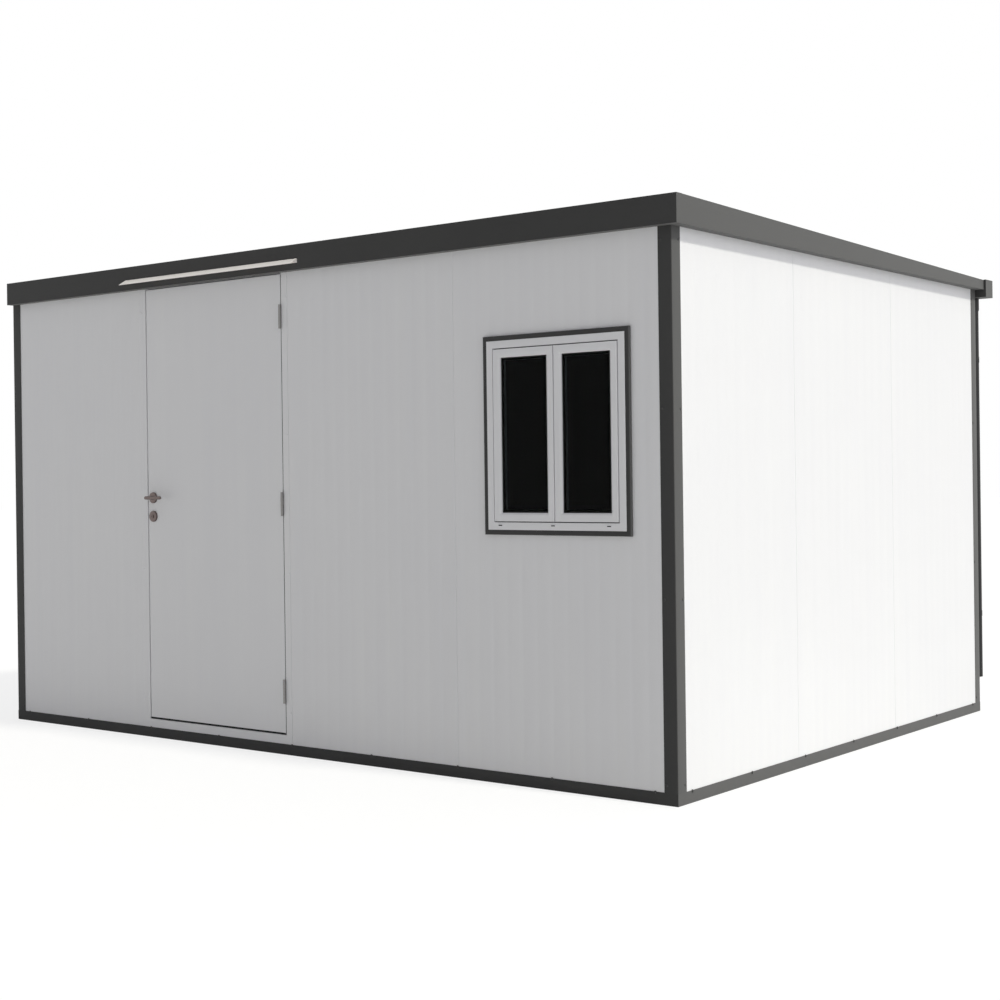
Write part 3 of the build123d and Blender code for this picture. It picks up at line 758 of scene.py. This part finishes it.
# Anodised aluminium: a pale milky film over rolled metal, so that it scatters more light than it
# mirrors. The rolling lines along its length are about 0.2 mm apart, drawn 3 mm wide so that they show.
milky_aluminium = patterned(
    "satin_anodised_aluminium",
    {"Metallic": 0.05, "Specular IOR Level": 0.6},
    grain=(0.6, 0.003, 0.003),
    detail=3.0,
    shades=("#f0ebe9", "#f8f4f2"),
    roughness=(0.32, 0.5),
)
piece(
    "rain_hood",
    carried(hood, 0, hood_low[0], hood_high[0]),
    milky_aluminium,
    stands_for=["rain_deflector"],
)

# Window trim: a picture frame folded from anthracite sheet with mitred corners. It is fixed to the
# wall face and covers the cut edge of the panel round the window frame.
trim_chamfer = 0.003
trim_ease = 0.0015
trim_low, trim_high = np.array(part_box("window_trim"))
trim_width = window_low[0] - trim_low[0]
window_centre = ((trim_low[0] + trim_high[0]) / 2, (trim_low[2] + trim_high[2]) / 2)
trim_section = eased(
    [
        (0, trim_high[1]),
        (0, trim_low[1] + trim_chamfer),
        (trim_chamfer, trim_low[1]),
        (trim_width, trim_low[1]),
        (trim_width, trim_high[1]),
    ],
    trim_ease,
    True,
)
piece(
    "window_surround",
    mitred_frame(trim_section, window_centre, trim_high[0] - trim_low[0], trim_high[2] - trim_low[2]),
    anthracite,
    stands_for=["window_trim"],
)

# Window frame: white hard plastic extrusions with welded mitres, set through the wall, with
# three caps over the drain slots of its bottom rail.
frame_width = 0.03
frame_ease = 0.002
cap_spots = (-0.266, -0.008, 0.254)
cap_rise = 0.018
cap_size = (0.026, 0.01, 0.003)
cap_ease = 0.003
slot_size = (0.018, 0.004, 0.0004)
slot_ease = 0.0015

# Hard white plastic: dense, smooth and slightly glossy, a cleaner white than the wall round it. Its
# shade and gloss drift over 250 mm, as handling and weather leave them.
window_plastic = patterned(
    "white_window_plastic",
    {"Specular IOR Level": 0.5, "IOR": 1.53},
    grain=(0.25, 0.25, 0.25),
    detail=3.0,
    shades=("#e4e4e7", "#ececef"),
    roughness=(0.25, 0.36),
)
frame_section = boxed((0, window_low[1]), (frame_width, window_high[1]), frame_ease)
window_size = window_high - window_low
piece(
    "window_outer_frame",
    mitred_frame(frame_section, window_centre, window_size[0], window_size[2]),
    window_plastic,
    stands_for=["window_frame"],
)


def pill(size, ease):
    """A small raised plate standing on its back: its eased outline carried out to its front, in three
    steps of (share of the outline, share of the height)."""
    wide, high, proud = size
    outline = boxed((-wide / 2, -high / 2), (wide / 2, high / 2), ease)
    rim = np.array([(1.0, 0.0), (1.0, 0.6), (0.9, 1.0)])
    x, z = rim[:, :1] * outline[:, 0], rim[:, :1] * outline[:, 1]
    return skinned(np.stack(np.broadcast_arrays(x, -proud * rim[:, 1:], z), -1))


cap_height = window_low[2] + cap_rise
caps = [(window_centre[0] + spot, window_low[1], cap_height) for spot in cap_spots]
cap_points, cap_faces = pill(cap_size, cap_ease)
piece(
    "drain_caps",
    joined([(cap_points + np.array(cap), cap_faces) for cap in caps]),
    window_plastic,
)
# Each drain slot is a thin black plate on the front of its cap: painted shade for the dark opening.
slot_points, slot_faces = pill(slot_size, slot_ease)
lifted = np.array((0, -cap_size[2], 0))
piece(
    "drain_slots",
    joined([(slot_points + np.array(cap) + lifted, slot_faces) for cap in caps]),
    black_rubber,
)

# Sashes: two white plastic casements that close flush with the frame, their glazing bevelled,
# with a black rubber seal behind the gap round each.
sash_stile = 0.034
sash_play = 0.004
meeting_gap = 0.004
lip_depth = 0.014
seat_reach = 0.0015
glass_setback = 0.014
bead_slope = 0.008
bead_fall = 0.0064
sash_ease = 0.002
gap_seal_setback = 0.001
gap_seal_depth = 0.006
gap_seal_ease = 0.0005
glass_seal_size = 0.003
glass_seal_edge = 0.001
glass_seal_ease = 0.0006
sash_low, sash_high = np.array(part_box("window_sashes"))
sash_width = (sash_high[0] - sash_low[0] - meeting_gap) / 2 - sash_play
sash_height = sash_high[2] - sash_low[2] - 2 * sash_play
sash_front, sash_back = sash_low[1], sash_high[1]
sash_section = eased(
    [
        (0, sash_front),
        (sash_stile - bead_slope, sash_front),
        (sash_stile, sash_front + bead_fall),
        (sash_stile, sash_back),
        (-seat_reach, sash_back),
        (-seat_reach, sash_front + lip_depth),
        (0, sash_front + lip_depth),
    ],
    sash_ease,
    True,
)
gap_seal_front = sash_front + lip_depth + gap_seal_setback
gap_seal = boxed((-sash_play, gap_seal_front), (-seat_reach, gap_seal_front + gap_seal_depth), gap_seal_ease)
glass_front = sash_front + glass_setback
glass_seal = eased(
    [
        (sash_stile, glass_front - glass_seal_size),
        (sash_stile + glass_seal_size, glass_front - glass_seal_edge),
        (sash_stile + glass_seal_size, glass_front),
        (sash_stile, glass_front),
    ],
    glass_seal_ease,
    True,
)
sash_offset = (sash_width + meeting_gap) / 2
sash_centres = [(window_centre[0] + sign * sash_offset, window_centre[1]) for sign in (-1, 1)]
piece(
    "casement_sashes",
    joined([mitred_frame(sash_section, centre, sash_width, sash_height) for centre in sash_centres]),
    window_plastic,
    stands_for=["window_sashes"],
)
seals = [mitred_frame(glass_seal, centre, sash_width, sash_height) for centre in sash_centres]
around_width = sash_high[0] - sash_low[0] - 2 * sash_play
seals.append(mitred_frame(gap_seal, window_centre, around_width, sash_height))
piece("window_seals", joined(seals), black_rubber)

# Glass: sealed units of two 4 mm float panes held apart by an aluminium spacer. They are set in the
# sashes from inside and bedded on the rubber seals.
pane_thickness = 0.004
unit_thickness = 0.02
spacer_width = 0.01
pane_width, pane_height = sash_width - 2 * sash_stile, sash_height - 2 * sash_stile

# Float glass: grey and mirror smooth, with faint wiping streaks 50 mm wide. The unlit room behind it
# makes it look nearly black, and its index is set low because the real panes show almost nothing of
# the bright surroundings.
window_glass = patterned(
    "grey_float_glass",
    {"Transmission Weight": 1.0, "IOR": 1.12, "Roughness": 0.0},
    grain=(0.05, 1.0, 0.5),
    detail=3.0,
    shades=("#6d7476", "#7f8688"),
)
spacer_front, spacer_back = glass_front + pane_thickness, glass_front + unit_thickness - pane_thickness
spacer = [
    (sash_stile, spacer_front),
    (sash_stile + spacer_width, spacer_front),
    (sash_stile + spacer_width, spacer_back),
    (sash_stile, spacer_back),
]
panes, spacers = [], []
for centre in sash_centres:
    outline = np.array([(-1, -1), (1, -1), (1, 1), (-1, 1)]) * (pane_width / 2, pane_height / 2) + centre
    for face in (glass_front, spacer_back):
        panes.append(carried(outline, 1, face, face + pane_thickness))
    spacers.append(mitred_frame(spacer, centre, sash_width, sash_height))
piece("sealed_panes", joined(panes), window_glass, stands_for=["window_glass"])
piece("pane_spacers", joined(spacers), milky_aluminium)

# Door leaf: a steel faced sandwich leaf with fainter rolled lines than the walls, its edges folded
# over, with square cut-outs for the lock under the roses. A rubber sweep with a lip in front is
# clipped under it, and rubber strips are glued to its hinge edge between the hinges; their black is
# also painted shade that darkens the gap lines below and beside the leaf.
leaf_line_depth = 0.0004
strip_setback = 0.003
strip_depth = 0.012
strip_thickness = 0.0015
strip_ease = 0.0004
sweep_drop = 0.004
lip_height = 0.0035
lip_thickness = 0.001
hinge_count = 3
hinge_height = 0.106
hinge_room = 0.001
rose_radius = 0.026
spindle_half = 0.012
cylinder_half = 0.0095
lever_axis = np.array(next(j for j in frame["joints"] if j["name"] == "lever_turn")["pos_m"])
lever_x, lever_z = lever_axis[0], lever_axis[2]
lock_low, _ = np.array(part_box("door_lock"))
cylinder_height = lock_low[2] + rose_radius
leaf_low, leaf_high = np.array(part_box("door_leaf"))
lock_holes = [
    (lever_x - half, lever_x + half, level - half, level + half)
    for level, half in ((lever_z, spindle_half), (cylinder_height, cylinder_half))
]
points, faces = lined_panel(
    leaf_low[0],
    leaf_high[0],
    leaf_high[1] - leaf_low[1],
    leaf_low[2],
    (leaf_high[2], leaf_high[2]),
    holes=lock_holes,
    sink=leaf_line_depth,
)
points[:, 1] += leaf_low[1]
piece("leaf_panel", (points, faces), panel_white, "door", ["door_leaf"])
# The sweep's front lip and the hinge-edge strips are real rubber and also painted shade for the gaps.
strip_front = leaf_low[1] + strip_setback
strip_back = strip_front + strip_depth
sweep = eased(
    [
        (leaf_low[1] - lip_thickness, leaf_low[2] + lip_height),
        (leaf_low[1] - lip_thickness, leaf_low[2] - sweep_drop),
        (strip_back, leaf_low[2] - sweep_drop),
        (strip_back, leaf_low[2]),
        (leaf_low[1], leaf_low[2]),
        (leaf_low[1], leaf_low[2] + lip_height),
    ],
    strip_ease,
    True,
)
strips = [carried(sweep, 0, leaf_low[0], leaf_high[0])]
edge_strip = boxed((leaf_high[0], strip_front), (leaf_high[0] + strip_thickness, strip_back), strip_ease)
hinges_low, hinges_high = np.array(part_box("hinge_door_leaves"))
hinge_feet = np.linspace(hinges_low[2], hinges_high[2] - hinge_height, hinge_count)
strip_feet = [leaf_low[2], *(hinge_feet + hinge_height + hinge_room)]
strip_heads = [*(hinge_feet - hinge_room), leaf_high[2]]
for strip_foot, strip_head in zip(strip_feet, strip_heads):
    strips.append(carried(edge_strip, 2, strip_foot, strip_head))
piece("leaf_gaskets", joined(strips), black_rubber, "door")

# Hinges: three lift-off hinges of turned and zinc plated steel. The frame's knuckle carries a pin and
# the leaf's knuckle drops over it; both are screwed into the gap beside the leaf and keep the CAD shape.
dress(zinc, "hinge_frame_leaves", "hinge_door_leaves")

# Lock: turned nickel roses on both faces of the leaf, one round each lever neck and one round
# each end of the key cylinder, which passes through the leaf.
rose_thickness = 0.009
rose_edge = 0.003
rose_bevel = 0.0009
rose_sides = 48
neck_hole = 0.00925
cylinder_radius = 0.0085
cylinder_proud = 0.004
cylinder_bevel = 0.001
key_slot_size = (0.002, 0.009, 0.0003)
key_slot_ease = 0.0008

# Brushed nickel on steel, grey brown. Its base colour is darkened as painted shade, for the dim
# surroundings it mirrors. The brush marks are under 0.1 mm, drawn 2 mm wide so that they show.
nickel_darkened_as_shade = patterned(
    "brushed_dull_nickel",
    {"Metallic": 1.0},
    grain=(0.002, 0.002, 0.02),
    detail=3.0,
    shades=("#615755", "#7c706d"),
    roughness=(0.25, 0.42),
)

leaf_front, leaf_back = leaf_low[1], leaf_high[1]
rose_rim = [
    (rose_radius, 0),
    (rose_radius, rose_thickness - rose_edge),
    (rose_radius - rose_bevel, rose_thickness - rose_bevel),
    (rose_radius - rose_edge, rose_thickness),
]
rose, capped_rose = (
    lathed([*rose_rim, (hole, rose_thickness), (hole, 0)], rose_sides, True)
    for hole in (neck_hole, cylinder_radius)
)
cylinder_end = rose_thickness + cylinder_proud
cylinder_length = leaf_back - leaf_front + 2 * cylinder_end
cylinder_profile = [
    (cylinder_radius - cylinder_bevel, 0),
    (cylinder_radius, cylinder_bevel),
    (cylinder_radius, cylinder_length - cylinder_bevel),
    (cylinder_radius - cylinder_bevel, cylinder_length),
]
cylinder = lathed(cylinder_profile, sides=32)
lock_shapes = []
for face, outward in ((leaf_front, -1), (leaf_back, 1)):
    lock_shapes.append(set_at(rose, [(lever_x, face, lever_z)], (0, outward, 0)))
    lock_shapes.append(set_at(capped_rose, [(lever_x, face, cylinder_height)], (0, outward, 0)))
cylinder_back = (lever_x, leaf_back + cylinder_end, cylinder_height)
lock_shapes.append(set_at(cylinder, [cylinder_back], (0, -1, 0)))
piece("lock_roses", joined(lock_shapes), nickel_darkened_as_shade, "door", ["door_lock"])
# The keyway is a thin black plate on the cylinder's face: painted shade for the dark slot.
key_points, key_faces = pill(key_slot_size, key_slot_ease)
key_place = np.array((lever_x, leaf_front - cylinder_end, cylinder_height))
piece("key_slot", (key_points + key_place, key_faces), black_rubber, "door")

# Lever handle: a nickel bar bent out of its neck and along the door, its end rounded, on both
# sides of the leaf and joined by a spindle through it.
neck_radius = 0.009
grip_radius = 0.008
bend_radius = 0.016
neck_step = 0.004
waist_start = 0.03
waist_share = 0.94
tip_share = 0.02
bar_sides = 24
bend_steps, tip_steps = 13, 9
lever_low, lever_high = np.array(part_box("lever_handle"))
leaf_middle = (leaf_front + leaf_back) / 2
standoff = leaf_middle - lever_low[1] - grip_radius
reach = lever_high[0] - lever_x
turn = np.linspace(0, np.pi / 2, bend_steps)
tip = np.linspace(0, np.pi / 2, tip_steps)[1:]
neck_end = standoff - bend_radius
outward = np.concatenate([[0.0, neck_end - neck_step, neck_end], neck_end + bend_radius * np.sin(turn[1:])])
sideways = np.concatenate([np.zeros(3), bend_radius * (1 - np.cos(turn[1:]))])
outward = np.concatenate([outward, np.full(len(tip) + 2, standoff)])
straight = [bend_radius + waist_start, reach - grip_radius]
sideways = np.concatenate([sideways, straight, reach - grip_radius + grip_radius * np.sin(tip)])
lean = np.concatenate([np.zeros(3), turn[1:], np.full(len(tip) + 2, np.pi / 2)])
girth = np.concatenate(
    [
        [neck_radius, neck_radius],
        np.full(1 + len(turn[1:]), grip_radius),
        [grip_radius * waist_share, grip_radius],
        grip_radius * np.maximum(np.cos(tip), tip_share),
    ]
)
angle = 2 * np.pi * np.arange(bar_sides) / bar_sides
aside = girth[:, None] * np.cos(angle)
bar_x = lever_x + sideways[:, None] + aside * np.cos(lean)[:, None]
bar_out = outward[:, None] - aside * np.sin(lean)[:, None]
bar_z = lever_z + girth[:, None] * np.sin(angle)
levers = [skinned(np.stack([bar_x, leaf_middle + sign * bar_out, bar_z], -1)) for sign in (-1, 1)]
piece("lever_bars", joined(levers), nickel_darkened_as_shade, "lever", ["lever_handle"])

# Stage: a wide pale floor, a soft sun from the right, a white world whose light is stronger from
# the back right than from the front left, and the camera where the photograph was taken from.
floor_half = 60.0
floor_glow = 1.22
floor_glow_share = 0.62
bright_side = (0.7071, 0.7071, 0.0)
dim_sky, full_sky = 0.08, 1.0
sky_colour = (0.995, 1.0, 1.035)
sun_climb = math.radians(50)
sun_side = math.radians(3.5)
white = (1.0, 1.0, 1.0, 1.0)
camera_place = (5.1667, -6.5988, 1.2295)
yaw, pitch, roll = 0.6621, -0.0022, 0.0129


def white_to_the_eye(tree):
    """One where the camera looks straight at a surface, or by way of a mirror or through glass."""
    seen = add_node(tree, "ShaderNodeLightPath").outputs
    either = add_node(
        tree, "ShaderNodeMath", {0: seen["Is Camera Ray"], 1: seen["Is Glossy Ray"]}, operation="MAXIMUM"
    )
    any_of = add_node(
        tree,
        "ShaderNodeMath",
        {0: either.outputs["Value"], 1: seen["Is Transmission Ray"]},
        operation="MAXIMUM",
    )
    return any_of.outputs["Value"]


floor_mesh = bpy.data.meshes.new("floor")
corner_signs = ((-1, -1), (1, -1), (1, 1), (-1, 1))
floor_mesh.from_pydata([(a * floor_half, b * floor_half, 0.0) for a, b in corner_signs], [], [(0, 1, 2, 3)])
floor = bpy.data.objects.new("floor", floor_mesh)
bpy.context.scene.collection.objects.link(floor)
floor_finish = bpy.data.materials.new("pale_studio_floor")
floor_finish.use_nodes = True
tree = floor_finish.node_tree
tree.nodes.clear()
plain = add_node(tree, "ShaderNodeBsdfDiffuse", {"Color": linear("#dcdcdc")})
glow = add_node(tree, "ShaderNodeEmission", {"Color": white, "Strength": floor_glow})
bright = add_node(tree, "ShaderNodeMixShader", {0: floor_glow_share, 1: plain.outputs[0], 2: glow.outputs[0]})
shown = add_node(
    tree,
    "ShaderNodeMixShader",
    {0: white_to_the_eye(tree), 1: plain.outputs[0], 2: bright.outputs[0]},
)
add_node(tree, "ShaderNodeOutputMaterial", {"Surface": shown.outputs[0]})
floor_mesh.materials.append(floor_finish)

world = bpy.data.worlds.new("white_studio")
bpy.context.scene.world = world
world.use_nodes = True
tree = world.node_tree
tree.nodes.clear()
heading = add_node(tree, "ShaderNodeTexCoord")
turned = add_node(
    tree,
    "ShaderNodeVectorMath",
    {0: heading.outputs["Generated"], 1: bright_side},
    operation="DOT_PRODUCT",
)
soft = add_node(
    tree,
    "ShaderNodeMapRange",
    {"Value": turned.outputs["Value"], "From Min": -1.0, "To Min": dim_sky, "To Max": full_sky},
)
dimmed = add_node(
    tree, "ShaderNodeVectorMath", {0: sky_colour, "Scale": soft.outputs["Result"]}, operation="SCALE"
)
shade = add_node(
    tree,
    "ShaderNodeMix",
    {0: white_to_the_eye(tree), 6: dimmed.outputs["Vector"], 7: white},
    data_type="RGBA",
)
sky = add_node(tree, "ShaderNodeBackground", {"Color": shade.outputs[2], "Strength": 1.0})
add_node(tree, "ShaderNodeOutputWorld", {"Surface": sky.outputs[0]})

sun_data = bpy.data.lights.new("low_sun", "SUN")
sun_data.energy = 1.82
sun_data.color = (1.0, 0.99, 0.885)
sun_data.angle = math.radians(5)
sun = bpy.data.objects.new("low_sun", sun_data)
to_sun = Vector(
    (
        math.cos(sun_climb) * math.cos(sun_side),
        math.cos(sun_climb) * math.sin(sun_side),
        math.sin(sun_climb),
    )
)
sun.rotation_mode = "QUATERNION"
sun.rotation_quaternion = to_sun.to_track_quat("Z", "Y")
bpy.context.scene.collection.objects.link(sun)

camera_data = bpy.data.cameras.new("camera")
camera_data.sensor_width = 36.0
camera_data.lens = 58.52
camera_data.shift_x = 0.0043
camera_data.shift_y = -0.0199
camera = bpy.data.objects.new("camera", camera_data)
ahead = Vector((-math.sin(yaw) * math.cos(pitch), math.cos(yaw) * math.cos(pitch), math.sin(pitch)))
level_right = Vector((math.cos(yaw), math.sin(yaw), 0.0))
level_down = ahead.cross(level_right)
right = math.cos(roll) * level_right + math.sin(roll) * level_down
down = math.cos(roll) * level_down - math.sin(roll) * level_right
pose = Matrix((right, -down, -ahead)).transposed().to_4x4()
pose.translation = camera_place
camera.matrix_world = pose
bpy.context.scene.collection.objects.link(camera)
bpy.context.scene.camera = camera
bpy.context.scene.view_settings.view_transform = "Standard"
